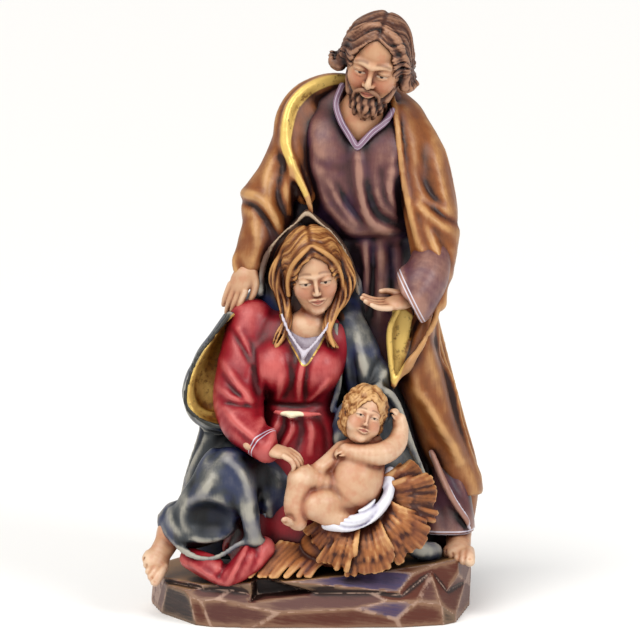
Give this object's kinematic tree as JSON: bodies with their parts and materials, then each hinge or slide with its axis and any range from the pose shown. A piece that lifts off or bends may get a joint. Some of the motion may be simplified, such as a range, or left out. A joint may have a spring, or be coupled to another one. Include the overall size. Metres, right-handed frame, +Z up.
{
  "type": "holy family statue",
  "caption": "Painted carved wood group of a standing man, a seated woman and a child on straw, on a faceted rock base.",
  "frame": {"origin": "middle of the rock base, on its underside", "axes": "+Z up, the group faces -Y, the standing man is on the +X side"},
  "size_m": [0.1704, 0.1202, 0.2999],
  "materials": {
    "painted_wood": "hand painted oil glazes over carved wood, gold leaf on the linings, satin"
  },
  "bodies": {
    "root": {"holy_family_group": "painted_wood"}
  },
  "joints": []
}
